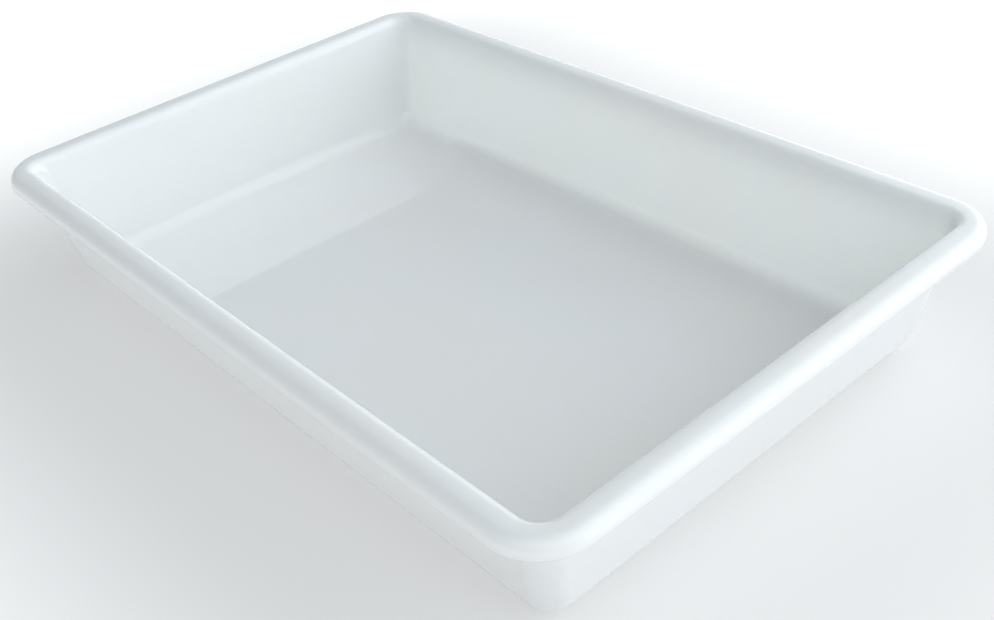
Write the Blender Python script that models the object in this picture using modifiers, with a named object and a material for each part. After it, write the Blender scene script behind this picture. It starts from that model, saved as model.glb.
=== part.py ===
"""Developing tray: one plastic shell with leaning walls and a turned-down rim.

Run with: blender --background --python part.py

Metres, +Z up. The base rests on z = 0 with the origin at its centre, +X is
along the long side and +Y along the short side. The modelled surface is the
one that holds the liquid and carries on over the rim; Solidify then grows the
wall below and outside it, so the outside sizes are the ones named here.
"""

import math

import bmesh
import bpy
from mathutils import Vector

# Outside sizes
LENGTH = 0.450
WIDTH = 0.3044
HEIGHT = 0.0734
WALL = 0.0036

# Walls: each one leans in by WALL_LEAN between the rim and the floor
WALL_LEAN = 0.0141
CAVITY_CORNER_RADIUS = 0.0095
FLOOR_FILLET_RADIUS = 0.0115

# Rim: a narrow flat, well rounded on both sides, that turns down into a short skirt
RIM_WIDTH = 0.0145
RIM_CORNER_RADIUS = 0.0270
RIM_DROP = 0.0088
SKIRT_INSET = 0.0013
RIM_INNER_RADIUS = 0.0048
RIM_OUTER_RADIUS = 0.0056
LIP_BEVEL = 0.0008

# How finely the curves are faceted
CORNER_SEGMENTS = 12
FLOOR_FILLET_SEGMENTS = 9
RIM_SEGMENTS = 6
LIP_SEGMENTS = 2

# Plastic: cool white, glossy
PLASTIC_COLOR = (0.83, 0.86, 0.88, 1.0)
PLASTIC_ROUGHNESS = 0.16

# Sizes that follow from the ones above
RIM_TOP_HALF_X = LENGTH / 2 - RIM_WIDTH
RIM_TOP_HALF_Y = WIDTH / 2 - RIM_WIDTH
FLOOR_HALF_X = RIM_TOP_HALF_X - WALL_LEAN
FLOOR_HALF_Y = RIM_TOP_HALF_Y - WALL_LEAN
CAVITY_DEPTH = HEIGHT - WALL
LEAN_ANGLE = math.atan2(WALL_LEAN, CAVITY_DEPTH)
SKIRT_ANGLE = math.atan2(SKIRT_INSET, RIM_DROP)
# The skirt leans back in, so its fillet leaves the rim's widest point this far inside
# the edge that it rounds
RIM_EDGE_EXTRA = RIM_OUTER_RADIUS * (math.tan((math.pi / 2 + SKIRT_ANGLE) / 2) - 1.0)
RIM_EDGE_HALF_X = LENGTH / 2 + RIM_EDGE_EXTRA
RIM_EDGE_HALF_Y = WIDTH / 2 + RIM_EDGE_EXTRA


def clear_scene():
    """Remove every object of the scene that the script starts in."""
    for scene_object in list(bpy.data.objects):
        bpy.data.objects.remove(scene_object, do_unlink=True)


def new_collection(name):
    collection = bpy.data.collections.new(name)
    bpy.context.scene.collection.children.link(collection)
    return collection


def plastic_material():
    material = bpy.data.materials.new("white_plastic")
    material.use_nodes = True
    shader = material.node_tree.nodes["Principled BSDF"]
    shader.inputs["Base Color"].default_value = PLASTIC_COLOR
    shader.inputs["Roughness"].default_value = PLASTIC_ROUGHNESS
    shader.inputs["Metallic"].default_value = 0.0
    material.diffuse_color = PLASTIC_COLOR
    return material


def sign(value):
    return math.copysign(1.0, value)


def fillet_width(radius, fold):
    """Distance from an edge to where a fillet of that radius leaves its faces."""
    return radius * math.tan(fold / 2)


def floor_outline(mesh):
    """A rounded rectangle at the floor's level; returns its outer edges."""
    bmesh.ops.create_grid(mesh, x_segments=1, y_segments=1, size=1.0)
    bmesh.ops.scale(mesh, vec=(FLOOR_HALF_X, FLOOR_HALF_Y, 1.0), verts=mesh.verts)
    bmesh.ops.translate(mesh, vec=(0.0, 0.0, WALL), verts=mesh.verts)
    bmesh.ops.bevel(
        mesh,
        geom=mesh.verts[:],
        offset=CAVITY_CORNER_RADIUS,
        offset_type="OFFSET",
        segments=CORNER_SEGMENTS,
        profile=0.5,
        affect="VERTICES",
    )
    return mesh.edges[:]


def extrude_ring(mesh, edges, move):
    """Extrude a closed ring of edges, move its new vertices, return its new edges."""
    result = bmesh.ops.extrude_edge_only(mesh, edges=edges)["geom"]
    for vertex in result:
        if isinstance(vertex, bmesh.types.BMVert):
            vertex.co = move(vertex.co)
    new_edges = [item for item in result if isinstance(item, bmesh.types.BMEdge)]
    old_verts = {vertex for edge in edges for vertex in edge.verts}
    return [edge for edge in new_edges if not old_verts.intersection(edge.verts)]


def up_the_wall(point):
    """From the floor's outline to the rim's inner edge, keeping the corner radius."""
    return Vector((
        point.x + sign(point.x) * WALL_LEAN,
        point.y + sign(point.y) * WALL_LEAN,
        HEIGHT,
    ))


def corner_centre(point, half_x, half_y, radius):
    """Centre of the arc that rounds a point's corner of an outline, at the point's height."""
    return Vector((
        sign(point.x) * (half_x - radius),
        sign(point.y) * (half_y - radius),
        point.z,
    ))


def across_the_rim(point):
    """From the rim's inner edge to its outer edge, whose corners are rounder."""
    inner = corner_centre(point, RIM_TOP_HALF_X, RIM_TOP_HALF_Y, CAVITY_CORNER_RADIUS)
    outer = corner_centre(point, RIM_EDGE_HALF_X, RIM_EDGE_HALF_Y, RIM_CORNER_RADIUS)
    return outer + (point - inner).normalized() * RIM_CORNER_RADIUS


def down_the_skirt(point):
    """From the rim's outer edge down and a little inward."""
    centre = corner_centre(point, RIM_EDGE_HALF_X, RIM_EDGE_HALF_Y, RIM_CORNER_RADIUS)
    outward = (point - centre).normalized()
    return point - outward * SKIRT_INSET - Vector((0.0, 0.0, RIM_DROP))


def round_ring(mesh, edges, radius, fold, segments):
    bmesh.ops.bevel(
        mesh,
        geom=edges,
        offset=fillet_width(radius, fold),
        offset_type="OFFSET",
        segments=segments,
        profile=0.5,
        affect="EDGES",
        clamp_overlap=False,
    )


def tray_surface():
    """The inside of the tray with the top and skirt of its rim, as an open surface."""
    mesh = bmesh.new()
    floor_edges = floor_outline(mesh)
    inner_rim_edges = extrude_ring(mesh, floor_edges, up_the_wall)
    outer_rim_edges = extrude_ring(mesh, inner_rim_edges, across_the_rim)
    extrude_ring(mesh, outer_rim_edges, down_the_skirt)

    upright = math.pi / 2
    round_ring(mesh, floor_edges, FLOOR_FILLET_RADIUS, upright - LEAN_ANGLE, FLOOR_FILLET_SEGMENTS)
    round_ring(mesh, inner_rim_edges, RIM_INNER_RADIUS, upright - LEAN_ANGLE, RIM_SEGMENTS)
    round_ring(mesh, outer_rim_edges, RIM_OUTER_RADIUS, upright + SKIRT_ANGLE, RIM_SEGMENTS)

    bmesh.ops.recalc_face_normals(mesh, faces=mesh.faces[:])
    floor_face = max(mesh.faces, key=lambda face: face.calc_area())
    if floor_face.normal.z < 0.0:
        bmesh.ops.reverse_faces(mesh, faces=mesh.faces[:])
    return mesh


def add_tray(collection, material):
    mesh = tray_surface()
    for face in mesh.faces:
        face.smooth = True
    mesh_data = bpy.data.meshes.new("tray")
    mesh.to_mesh(mesh_data)
    mesh.free()
    mesh_data.materials.append(material)

    tray = bpy.data.objects.new("tray", mesh_data)
    collection.objects.link(tray)

    shell = tray.modifiers.new("shell", "SOLIDIFY")
    shell.thickness = WALL
    shell.offset = -1.0
    shell.use_even_offset = True

    lip = tray.modifiers.new("lip", "BEVEL")
    lip.width = LIP_BEVEL
    lip.segments = LIP_SEGMENTS
    lip.limit_method = "ANGLE"
    lip.angle_limit = math.radians(40.0)
    return tray


def main():
    clear_scene()
    add_tray(new_collection("developing_tray"), plastic_material())


main()
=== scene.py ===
"""The developing tray as a finished visual model, in a plain white studio.

Metres, +Z up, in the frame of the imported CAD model: the tray stands on z = 0 with its
middle over the origin, +X is along its long side and +Y along its short side.
"""

import math

import bmesh
import bpy
from mathutils import Matrix, Vector, noise


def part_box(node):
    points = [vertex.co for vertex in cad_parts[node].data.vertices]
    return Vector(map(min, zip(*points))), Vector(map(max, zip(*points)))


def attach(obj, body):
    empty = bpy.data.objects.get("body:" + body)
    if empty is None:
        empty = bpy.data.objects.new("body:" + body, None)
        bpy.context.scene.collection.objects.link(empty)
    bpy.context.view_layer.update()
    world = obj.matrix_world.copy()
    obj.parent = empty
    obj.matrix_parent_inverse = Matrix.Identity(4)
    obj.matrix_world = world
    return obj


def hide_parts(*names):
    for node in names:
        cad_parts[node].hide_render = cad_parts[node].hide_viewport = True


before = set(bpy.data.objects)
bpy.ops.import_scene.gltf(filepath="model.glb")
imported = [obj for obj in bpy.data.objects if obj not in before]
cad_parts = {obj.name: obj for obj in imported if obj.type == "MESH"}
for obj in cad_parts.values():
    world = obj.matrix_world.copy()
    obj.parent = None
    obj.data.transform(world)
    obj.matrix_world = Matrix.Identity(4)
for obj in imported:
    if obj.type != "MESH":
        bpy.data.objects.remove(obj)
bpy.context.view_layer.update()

QUARTER_TURN = math.pi / 2

# ---------------------------------------------------------------------------
# Sizes of the tray, as in the CAD model
# ---------------------------------------------------------------------------
TRAY_LOW, TRAY_HIGH = (Vector(corner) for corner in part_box("tray"))
HALF_X = (TRAY_HIGH.x - TRAY_LOW.x) / 2
HALF_Y = (TRAY_HIGH.y - TRAY_LOW.y) / 2
HEIGHT = TRAY_HIGH.z - TRAY_LOW.z
WALL = 0.0036
WALL_LEAN = 0.0141
CAVITY_CORNER_RADIUS = 0.0095
FLOOR_FILLET_RADIUS = 0.0115
RIM_WIDTH = 0.0145
RIM_CORNER_RADIUS = 0.0270
RIM_DROP = 0.0088
SKIRT_INSET = 0.0013
RIM_INNER_RADIUS = 0.0048
RIM_OUTER_RADIUS = 0.0056

# Finer shaping than the CAD model has
RIM_CROWN = 0.0006
LIP_RADIUS = 0.0008
CORNER_SOFTNESS = 0.0012
SMALLEST_CORNER_RADIUS = 0.0004

# Unevenness that a moulded tray has: a slightly domed floor and slightly bowed walls
FLOOR_DOME = 0.0004
WALL_BOW = 0.0005
WALL_BOW_POWER = 5
WAVE_HEIGHT = 0.00012
WAVE_LENGTH = 0.11
WAVE_SEED = 7

# How finely the surface is divided
CORNER_STEPS = 28
LONG_SIDE_STEPS = 40
SHORT_SIDE_STEPS = 26
FLAT_RINGS = 22
FILLET_STEPS = 14
WALL_STEPS = 12
RIM_INNER_STEPS = 9
RIM_TOP_STEPS = 5
RIM_OUTER_STEPS = 11
SKIRT_STEPS = 3
LIP_STEPS = 4

# ---------------------------------------------------------------------------
# Looks of the plastic
# ---------------------------------------------------------------------------
PLASTIC = (0.82, 0.84, 0.85, 1.0)
PLASTIC_WARM = (0.825, 0.83, 0.82, 1.0)
PLASTIC_SCUFFED = (0.74, 0.75, 0.75, 1.0)
PLASTIC_IOR = 1.5
COAT_WEIGHT = 0.2
COAT_IOR = 1.5
COAT_ROUGHNESS = 0.03
SUBSURFACE_RADIUS = (1.0, 1.0, 0.9)
SUBSURFACE_SCALE = 0.008

# Roughness of the clean surface, from polished to hazy, and of the marks on it
CLEAN_ROUGHNESS = (0.03, 0.06)
SCRATCH_ROUGHNESS = 0.16
SCUFF_ROUGHNESS = 0.42

# Scuffs reach from the base up to a small height, and are strongest at the base
SCUFF_FULL_HEIGHT = 0.0004
SCUFF_HEIGHT = 0.0030
SCUFF_GRIME = 0.6
SCUFF_RELIEF = 0.8

# Scratches: (direction in radians, noise scale, width on the noise), drawn out in length
SCRATCH_FAMILIES = ((0.5, 34.0, 0.006), (2.2, 41.0, 0.005))
SCRATCH_STRETCH = 26.0
SCRATCH_RELIEF = 0.12

# Noise patterns: (scale, detail, roughness)
CLOUD_NOISE = (9.0, 4.0, 0.55)
HAZE_NOISE = (28.0, 5.0, 0.6)
RUB_NOISE = (60.0, 6.0, 0.7)
PEEL_NOISE = (240.0, 2.0, 0.5)
GRIT_NOISE = (1500.0, 3.0, 0.6)
SCRATCH_PATCH_NOISE = (16.0, 2.0, 0.5)

RELIEF_STRENGTH = 0.02
RELIEF_DEPTH = 0.0004

# ---------------------------------------------------------------------------
# Studio
# ---------------------------------------------------------------------------
STUDIO_HALF_SIZE = 40.0
PAPER = (0.5, 0.5, 0.5, 1.0)
PAPER_ROUGHNESS = 0.9
# Painted light on the paper: its glow rises from the first strength to the second between two
# distances from the tray, so it is darker close to the tray as a painted soft shadow round it
PAINTED_GLOW_DISTANCES = (0.03, 0.27)
PAINTED_GLOW_STRENGTHS = (0.36, 0.74)

CAMERA_PLACE = (0.4493, -0.3385, 0.3814)
CAMERA_FORWARD = (-0.64147, 0.51643, -0.56729)
CAMERA_ROLL = -5.925
CAMERA_LENS = 44.75

# The dome of light: its colour and the terms of its brightness, see add_world
DOME_COLOR = (0.93, 1.0, 1.04, 1.0)
DOME_BASE = -0.12
DOME_SLOPE = (0.0, 0.71, 0.55)
DOME_CURVE = (
    (0.70, 0.25, 0.60),
    (0.25, 1.19, -0.32),
    (0.60, -0.32, 0.0),
)
DOME_DARKEST = 0.03

# Area lights: (name, place, target, size, watts)
LIGHTS = (
    ("back", (0.23, 0.87, 0.29), (0.0, 0.0, 0.02), (1.4, 0.5), 0.45),
    ("back_right", (0.50, 0.60, 0.20), (0.20, 0.1, 0.03), (0.9, 0.3), 0.42),
    ("back_low", (0.20, 0.72, 0.16), (0.08, 0.15, 0.03), (1.2, 0.2), 0.35),
    ("key", (0.12, 0.66, 0.67), (0.0, 0.0, 0.02), (0.9, 0.7), 0.78),
    ("right", (0.75, 0.10, 0.60), (0.0, 0.0, 0.02), (0.8, 0.7), 0.16),
    ("front", (0.60, -0.50, 0.60), (0.05, 0.05, 0.02), (0.8, 0.8), 0.62),
)


# ---------------------------------------------------------------------------
# Profile of the wall: (inset from the rim's outer edge, height) pairs
# ---------------------------------------------------------------------------
def arc(centre, radius, start, end, steps):
    """Points on an arc in the (inset, height) plane, angles in radians."""
    points = []
    for step in range(steps + 1):
        angle = start + (end - start) * step / steps
        points.append((centre[0] + radius * math.cos(angle), centre[1] + radius * math.sin(angle)))
    return points


def stretch(start, end, steps):
    """Points between two points, both left out."""
    points = []
    for step in range(1, steps):
        share = step / steps
        points.append((
            start[0] + (end[0] - start[0]) * share,
            start[1] + (end[1] - start[1]) * share,
        ))
    return points


def inner_profile():
    """From the edge of the flat floor, up the wall, over the rim and down its skirt."""
    lean = math.atan2(WALL_LEAN, HEIGHT - WALL)
    tilt = math.atan2(SKIRT_INSET, RIM_DROP)

    foot = RIM_WIDTH + WALL_LEAN
    foot_run = FLOOR_FILLET_RADIUS * math.tan((QUARTER_TURN - lean) / 2)
    foot_centre = (foot + foot_run, WALL + FLOOR_FILLET_RADIUS)
    fillet = arc(foot_centre, FLOOR_FILLET_RADIUS, -QUARTER_TURN, -math.pi + lean, FILLET_STEPS)

    shoulder_run = RIM_INNER_RADIUS * math.tan((QUARTER_TURN - lean) / 2)
    shoulder_centre = (RIM_WIDTH - shoulder_run, HEIGHT - RIM_INNER_RADIUS)
    shoulder = arc(shoulder_centre, RIM_INNER_RADIUS, lean, QUARTER_TURN, RIM_INNER_STEPS)

    edge_centre = (RIM_OUTER_RADIUS, HEIGHT - RIM_OUTER_RADIUS)
    edge = arc(edge_centre, RIM_OUTER_RADIUS, QUARTER_TURN, math.pi + tilt, RIM_OUTER_STEPS)

    skirt_length = RIM_DROP - RIM_OUTER_RADIUS * (1 + math.sin(tilt)) - LIP_RADIUS
    skirt_end = (
        edge[-1][0] + skirt_length * math.tan(tilt),
        edge[-1][1] - skirt_length,
    )
    profile = fillet
    profile += stretch(fillet[-1], shoulder[0], WALL_STEPS)
    profile += shoulder
    profile += stretch(shoulder[-1], edge[0], RIM_TOP_STEPS)
    profile += edge
    profile += stretch(edge[-1], skirt_end, SKIRT_STEPS)
    profile.append(skirt_end)
    return profile


def soft_step(value):
    """max(value, 0) with its corner rounded over CORNER_SOFTNESS."""
    return CORNER_SOFTNESS * math.log1p(math.exp(value / CORNER_SOFTNESS))


def corner_radius(inset):
    """Plan radius of the tray's corners on the inner profile.

    It stays the same down the wall, grows across the rim and shrinks across the floor.
    """
    growth = (RIM_CORNER_RADIUS - CAVITY_CORNER_RADIUS) / RIM_WIDTH
    beyond_wall = soft_step(RIM_WIDTH - inset)
    into_floor = soft_step(inset - RIM_WIDTH - WALL_LEAN)
    return CAVITY_CORNER_RADIUS + growth * beyond_wall - into_floor


def profile_normals(profile):
    """Unit normals on the side away from the liquid, straight down at the floor's edge."""
    normals = []
    for index in range(len(profile)):
        before = profile[max(index - 1, 0)]
        after = profile[min(index + 1, len(profile) - 1)]
        along = Vector((after[0] - before[0], after[1] - before[1])).normalized()
        normals.append((-along.y, along.x))
    normals[0] = (0.0, -1.0)
    return normals


def shell_rings():
    """The whole skin as (inset, height, inset of the corner centre), from floor to base."""
    inner = inner_profile()
    normals = profile_normals(inner)
    centres = [inset + corner_radius(inset) for inset, _ in inner]
    rings = [(inset, height, centre) for (inset, height), centre in zip(inner[:-1], centres)]

    # The skirt ends in a lip, rounded on both sides
    tip = inner[-1]
    side = normals[-1]
    start = math.atan2(-side[1], -side[0])
    for depth in (LIP_RADIUS, WALL - LIP_RADIUS):
        centre = (tip[0] + side[0] * depth, tip[1] + side[1] * depth)
        for inset, height in arc(centre, LIP_RADIUS, start, start + QUARTER_TURN, LIP_STEPS):
            rings.append((inset, height, centres[-1]))
        start += QUARTER_TURN

    for point, normal, centre in reversed(list(zip(inner, normals, centres))[:-1]):
        rings.append((point[0] + normal[0] * WALL, point[1] + normal[1] * WALL, centre))
    return rings


def crown(inset, height):
    """How far the rim's top falls away from its middle; the lip stays where it is."""
    share = min(max(inset / RIM_WIDTH, 0.0), 1.0)
    above_lip = min(max((height - HEIGHT) / RIM_DROP + 1, 0.0), 1.0)
    return -RIM_CROWN * (2 * share - 1) ** 2 * above_lip


# ---------------------------------------------------------------------------
# Skin of the tray
# ---------------------------------------------------------------------------
def ring_outline(half_x, half_y, radius):
    """Points round a rounded rectangle, anticlockwise from the middle of the +X side."""
    corner_x = half_x - radius
    corner_y = half_y - radius
    sides = ((1, 1), (-1, 1), (-1, -1), (1, -1))
    points = []
    for turn, (side_x, side_y) in enumerate(sides):
        centre = Vector((side_x * corner_x, side_y * corner_y))
        for step in range(CORNER_STEPS + 1):
            angle = QUARTER_TURN * (turn + step / CORNER_STEPS)
            points.append(centre + radius * Vector((math.cos(angle), math.sin(angle))))
        next_x, next_y = sides[(turn + 1) % 4]
        start = points[-1]
        end = Vector((next_x * corner_x, next_y * corner_y))
        end += radius * Vector((math.cos(angle), math.sin(angle)))
        steps = LONG_SIDE_STEPS if turn % 2 == 0 else SHORT_SIDE_STEPS
        for step in range(1, steps):
            points.append(start.lerp(end, step / steps))
    return points


def unevenness(point):
    """How far a moulded tray strays from its drawing at a point."""
    along = 1 - min(abs(point.x) / HALF_X, 1.0) ** 2
    across = 1 - min(abs(point.y) / HALF_Y, 1.0) ** 2
    low = 1 - point.z / HEIGHT
    bow_x = WALL_BOW * across * (point.x / HALF_X) ** WALL_BOW_POWER
    bow_y = WALL_BOW * along * (point.y / HALF_Y) ** WALL_BOW_POWER
    dome = FLOOR_DOME * along * across * low ** 2
    wave = noise.noise_vector(point / WAVE_LENGTH) * WAVE_HEIGHT
    wave.z *= along * across
    return Vector((bow_x, bow_y, dome)) + wave


def uneven_place(x, y, z):
    place = Vector((x, y, z))
    return place + unevenness(place)


def flat_rings(edge, height):
    """Rings that close a flat face towards its middle, without the edge itself."""
    rings = []
    for step in range(1, FLAT_RINGS):
        share = 1 - step / FLAT_RINGS
        rings.append([(point * share, height) for point, _ in edge])
    return rings


def tray_mesh():
    # Without a seed, Blender's vector noise starts from the clock
    noise.seed_set(WAVE_SEED)
    mesh = bmesh.new()
    rings = []
    for inset, height, centre in shell_rings():
        radius = max(centre - inset, SMALLEST_CORNER_RADIUS)
        height += crown(inset, height)
        outline = ring_outline(HALF_X - inset, HALF_Y - inset, radius)
        rings.append([(point, height) for point in outline])
    floor = flat_rings(rings[0], WALL)
    base = flat_rings(rings[-1], 0.0)

    loops = []
    for ring in floor[::-1] + rings + base:
        loops.append([
            mesh.verts.new(uneven_place(point.x, point.y, height)) for point, height in ring
        ])
    for lower, upper in zip(loops, loops[1:]):
        for index in range(len(lower)):
            after = (index + 1) % len(lower)
            mesh.faces.new((lower[index], lower[after], upper[after], upper[index]))
    for loop, height, order in ((loops[0], WALL, 1), (loops[-1], 0.0, -1)):
        middle = mesh.verts.new(uneven_place(0.0, 0.0, height))
        for index in range(len(loop)):
            after = (index + 1) % len(loop)
            mesh.faces.new((middle, loop[index], loop[after])[::order])
    bmesh.ops.recalc_face_normals(mesh, faces=mesh.faces[:])
    for face in mesh.faces:
        face.smooth = True
    return mesh


# ---------------------------------------------------------------------------
# Node trees
# ---------------------------------------------------------------------------
class Nodes:
    """Short calls for building a node tree. A value may be a number or a node's output."""

    def __init__(self, tree):
        self.tree = tree

    def connect(self, socket, value):
        if isinstance(value, bpy.types.NodeSocket):
            self.tree.links.new(value, socket)
        else:
            socket.default_value = value

    def add(self, kind, settings=None, **inputs):
        node = self.tree.nodes.new(kind)
        for name, value in (settings or {}).items():
            setattr(node, name, value)
        for name, value in inputs.items():
            self.connect(node.inputs[name.replace("_", " ")], value)
        return node

    def noise(self, place, pattern):
        scale, detail, roughness = pattern
        texture = self.add(
            "ShaderNodeTexNoise", Vector=place, Scale=scale, Detail=detail, Roughness=roughness)
        return texture.outputs["Fac"]

    def map_range(self, value, old, new, kind="LINEAR"):
        """Carry a value from one range over to another, held at both ends."""
        node = self.add(
            "ShaderNodeMapRange", {"interpolation_type": kind}, Value=value,
            From_Min=old[0], From_Max=old[1], To_Min=new[0], To_Max=new[1])
        return node.outputs["Result"]

    def mix(self, share, first, second, kind="RGBA"):
        """Blend two colours, or two numbers with kind FLOAT, by a share that varies."""
        node = self.add("ShaderNodeMix", {"data_type": kind})
        sockets, output = {"FLOAT": ((0, 2, 3), 0), "RGBA": ((0, 6, 7), 2)}[kind]
        for socket, value in zip(sockets, (share, first, second)):
            self.connect(node.inputs[socket], value)
        return node.outputs[output]

    def math(self, operation, first, second=None):
        node = self.add("ShaderNodeMath", {"operation": operation})
        self.connect(node.inputs[0], first)
        if second is not None:
            self.connect(node.inputs[1], second)
        return node.outputs["Value"]

    def vector(self, operation, first, second=None, output="Vector"):
        node = self.add("ShaderNodeVectorMath", {"operation": operation})
        self.connect(node.inputs[0], first)
        if second is not None:
            self.connect(node.inputs[1], second)
        return node.outputs[output]


def new_material(name):
    material = bpy.data.materials.new(name)
    material.use_nodes = True
    return material, Nodes(material.node_tree), material.node_tree.nodes["Principled BSDF"]


def scratch_lines(nodes, place, turn, scale, width):
    """Thin, long, broken lines along one direction: 1 on a line and 0 off it."""
    drawn_out = nodes.add(
        "ShaderNodeMapping", Vector=place, Rotation=(0.0, 0.0, turn),
        Scale=(1.0, SCRATCH_STRETCH, 1.0))
    streaks = nodes.noise(drawn_out.outputs["Vector"], (scale, 2.0, 0.5))
    distance = nodes.math("ABSOLUTE", nodes.math("SUBTRACT", streaks, 0.5))
    lines = nodes.map_range(distance, (0.0, width), (1.0, 0.0))
    patches = nodes.map_range(nodes.noise(place, SCRATCH_PATCH_NOISE), (0.5, 0.62), (0.0, 1.0))
    return nodes.math("MULTIPLY", lines, patches)


def plastic_material():
    material, nodes, shader = new_material("white_plastic")
    place = nodes.add("ShaderNodeTexCoord").outputs["Object"]

    # Scuffs from sliding on a worktop: on the base, and fading out just above it
    height = nodes.add("ShaderNodeSeparateXYZ", Vector=place).outputs["Z"]
    low = nodes.map_range(height, (SCUFF_FULL_HEIGHT, SCUFF_HEIGHT), (1.0, 0.0))
    rubbed = nodes.map_range(nodes.noise(place, RUB_NOISE), (0.38, 0.62), (0.15, 1.0))
    scuffs = nodes.math("MULTIPLY", low, rubbed)

    # Faint scratches from tongs and cleaning, along two directions
    families = [scratch_lines(nodes, place, *family) for family in SCRATCH_FAMILIES]
    scratches = nodes.math("MAXIMUM", *families)

    # Colour: faint clouds of a warmer white, greyer where it is scuffed
    clouds = nodes.map_range(nodes.noise(place, CLOUD_NOISE), (0.35, 0.65), (0.0, 1.0))
    clean = nodes.mix(clouds, PLASTIC, PLASTIC_WARM)
    grime = nodes.math("MULTIPLY", scuffs, SCUFF_GRIME)
    color = nodes.mix(grime, clean, PLASTIC_SCUFFED)

    # Gloss: a polished mould finish with faint handling haze, duller where it is marked
    haze = nodes.map_range(nodes.noise(place, HAZE_NOISE), (0.3, 0.75), CLEAN_ROUGHNESS)
    scratched = nodes.mix(scratches, haze, SCRATCH_ROUGHNESS, "FLOAT")
    roughness = nodes.mix(scuffs, scratched, SCUFF_ROUGHNESS, "FLOAT")

    # Relief: the slight orange peel of a moulded face, the scratches and the scuffs
    peel = nodes.noise(place, PEEL_NOISE)
    grit = nodes.math("MULTIPLY", scuffs, nodes.noise(place, GRIT_NOISE))
    relief = nodes.math("SUBTRACT", peel, nodes.math("MULTIPLY", scratches, SCRATCH_RELIEF))
    relief = nodes.math("ADD", relief, nodes.math("MULTIPLY", grit, SCUFF_RELIEF))
    bump = nodes.add(
        "ShaderNodeBump", Strength=RELIEF_STRENGTH, Distance=RELIEF_DEPTH, Height=relief)

    for name, value in (
        ("Base Color", color),
        ("Roughness", roughness),
        ("Normal", bump.outputs["Normal"]),
        ("IOR", PLASTIC_IOR),
        ("Coat Weight", COAT_WEIGHT),
        ("Coat IOR", COAT_IOR),
        ("Coat Roughness", COAT_ROUGHNESS),
        ("Subsurface Weight", 1.0),
        ("Subsurface Radius", SUBSURFACE_RADIUS),
        ("Subsurface Scale", SUBSURFACE_SCALE),
    ):
        nodes.connect(shader.inputs[name], value)
    return material


def floor_material():
    """White paper with painted light: it glows a little, and more so away from the tray, so that
    it is darker near the tray as a painted soft shadow.
    """
    material, nodes, shader = new_material("studio_floor")
    place = nodes.add("ShaderNodeTexCoord").outputs["Object"]
    outward = nodes.vector("ABSOLUTE", place)
    outward = nodes.vector("SUBTRACT", outward, (HALF_X, HALF_Y, 0.0))
    outward = nodes.vector("MAXIMUM", outward, (0.0, 0.0, 0.0))
    distance = nodes.vector("LENGTH", outward, output="Value")
    # Painted light: the glow is weaker close to the tray, a painted soft shadow that follows its
    # outline
    glow = nodes.map_range(distance, PAINTED_GLOW_DISTANCES, PAINTED_GLOW_STRENGTHS, "SMOOTHSTEP")
    for name, value in (
        ("Base Color", PAPER),
        ("Roughness", PAPER_ROUGHNESS),
        ("Specular IOR Level", 0.0),
        ("Emission Color", (1.0, 1.0, 1.0, 1.0)),
        ("Emission Strength", glow),
    ):
        nodes.connect(shader.inputs[name], value)
    return material


# ---------------------------------------------------------------------------
# Scene
# ---------------------------------------------------------------------------
def link_object(name, data):
    scene_object = bpy.data.objects.new(name, data)
    bpy.context.scene.collection.objects.link(scene_object)
    return scene_object


def add_mesh(name, mesh, material):
    data = bpy.data.meshes.new(name)
    mesh.to_mesh(data)
    mesh.free()
    data.materials.append(material)
    return link_object(name, data)


def add_floor():
    mesh = bmesh.new()
    bmesh.ops.create_grid(mesh, x_segments=1, y_segments=1, size=STUDIO_HALF_SIZE)
    add_mesh("floor", mesh, floor_material())


def aim(thing, place, forward, roll=0.0):
    turn = forward.to_track_quat("-Z", "Y").to_matrix().to_4x4()
    thing.matrix_world = Matrix.Translation(place) @ turn @ Matrix.Rotation(roll, 4, "Z")


def add_area_light(name, place, target, size, power):
    data = bpy.data.lights.new(name, "AREA")
    data.shape = "RECTANGLE"
    data.size, data.size_y = size
    data.energy = power
    aim(link_object(name, data), place, Vector(target) - Vector(place))


def add_camera():
    data = bpy.data.cameras.new("camera")
    data.sensor_width = 36.0
    data.lens = CAMERA_LENS
    data.clip_start = 0.01
    camera = link_object("camera", data)
    aim(camera, CAMERA_PLACE, Vector(CAMERA_FORWARD), math.radians(CAMERA_ROLL))
    bpy.context.scene.camera = camera


def add_world():
    """A soft dome of light whose brightness is a quadratic function of direction.

    With d the unit vector towards a point of the dome, its brightness is
    base + slope . d + d . (curve d), never below DOME_DARKEST.
    """
    world = bpy.data.worlds.new("studio")
    world.use_nodes = True
    nodes = Nodes(world.node_tree)
    direction = nodes.add("ShaderNodeTexCoord").outputs["Generated"]
    curved = nodes.add("ShaderNodeCombineXYZ")
    for axis, row in zip("XYZ", DOME_CURVE):
        term = nodes.vector("DOT_PRODUCT", direction, row, output="Value")
        nodes.connect(curved.inputs[axis], term)
    total = nodes.vector("ADD", curved.outputs["Vector"], DOME_SLOPE)
    varying = nodes.vector("DOT_PRODUCT", direction, total, output="Value")
    brightness = nodes.math("ADD", varying, DOME_BASE)
    background = world.node_tree.nodes["Background"]
    background.inputs["Color"].default_value = DOME_COLOR
    nodes.connect(background.inputs["Strength"], nodes.math("MAXIMUM", brightness, DOME_DARKEST))
    bpy.context.scene.world = world


tray = add_mesh("tray_shell", tray_mesh(), plastic_material())
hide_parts("tray")
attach(tray, "root")

add_floor()
add_camera()
add_world()
for light in LIGHTS:
    add_area_light(*light)

bpy.context.scene.view_settings.view_transform = "Standard"
bpy.context.scene.view_settings.look = "None"
